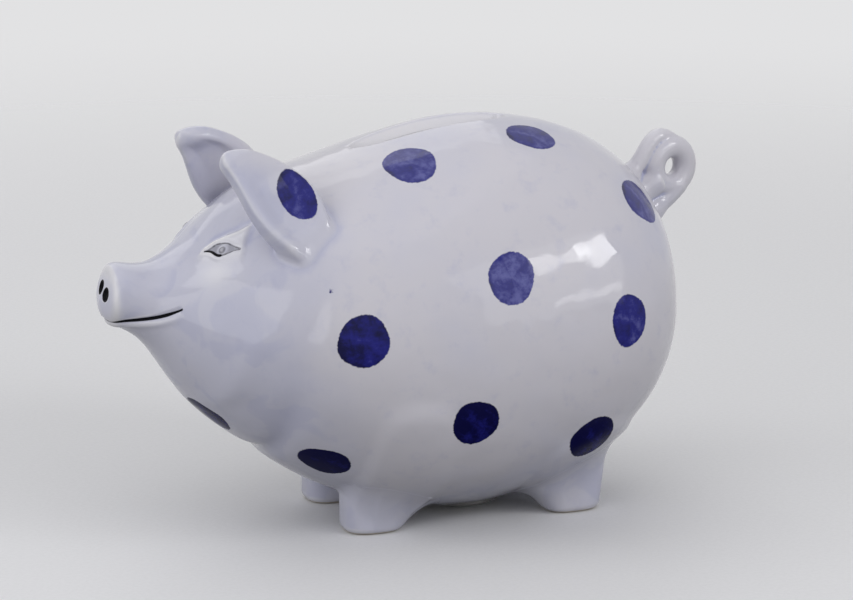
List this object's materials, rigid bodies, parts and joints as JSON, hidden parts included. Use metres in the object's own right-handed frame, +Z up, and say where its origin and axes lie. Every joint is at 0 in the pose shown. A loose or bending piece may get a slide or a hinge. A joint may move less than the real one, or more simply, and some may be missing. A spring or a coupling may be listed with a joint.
{
  "type": "piggy bank",
  "caption": "Hollow glazed ceramic pig money box with a coin slot along its back, leaf ears, a curled tail and a soft belly stopper.",
  "frame": {"origin": "middle of the overall box on the ground plane under the feet", "axes": "+X from tail to nose, +Y to the pig's left, +Z up"},
  "size_m": [0.165, 0.0982, 0.1031],
  "materials": {
    "glaze": "gloss",
    "stopper": "matte"
  },
  "bodies": {
    "bank": {"body_shell": "glaze", "ear_left": "glaze", "ear_right": "glaze", "foot_front_left": "glaze", "foot_front_right": "glaze", "foot_rear_left": "glaze", "foot_rear_right": "glaze", "tail": "glaze"},
    "bung": {"stopper": "stopper"}
  },
  "joints": [
    {"name": "stopper_pull", "type": "slide", "parent": "bank", "child": "bung", "axis": [0, 0, -1], "range_m": [0, 0.02]}
  ]
}
